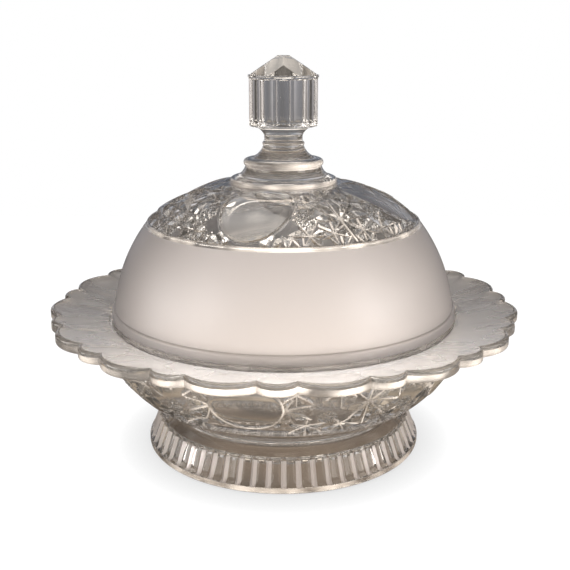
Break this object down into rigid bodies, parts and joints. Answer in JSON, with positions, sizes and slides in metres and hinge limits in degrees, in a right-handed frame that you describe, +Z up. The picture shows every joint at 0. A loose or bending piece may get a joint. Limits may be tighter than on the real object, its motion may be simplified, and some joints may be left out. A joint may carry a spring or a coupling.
{
  "type": "butter dish",
  "caption": "Covered butter dish in pressed glass: a footed dish with a scalloped flange and a domed cover with a fluted knob that lifts off.",
  "frame": {"origin": "centre of the ring the foot stands on", "axes": "+Z up along the dish's axis; the front faces -Y, with the first bull's-eye a little to its -X side"},
  "size_m": [0.205, 0.2048, 0.1715],
  "materials": {
    "clear_glass": "clear pressed glass with a fire-polished surface",
    "satin_glass": "clear pressed glass with an acid-etched satin band round the dome"
  },
  "bodies": {
    "dish": {"base_dish": "clear_glass"},
    "lid": {"cover": "satin_glass"}
  },
  "joints": [
    {"name": "cover_lift", "type": "slide", "parent": "dish", "child": "lid", "axis": [0, 0, 1], "range_m": [0, 0.13]}
  ]
}
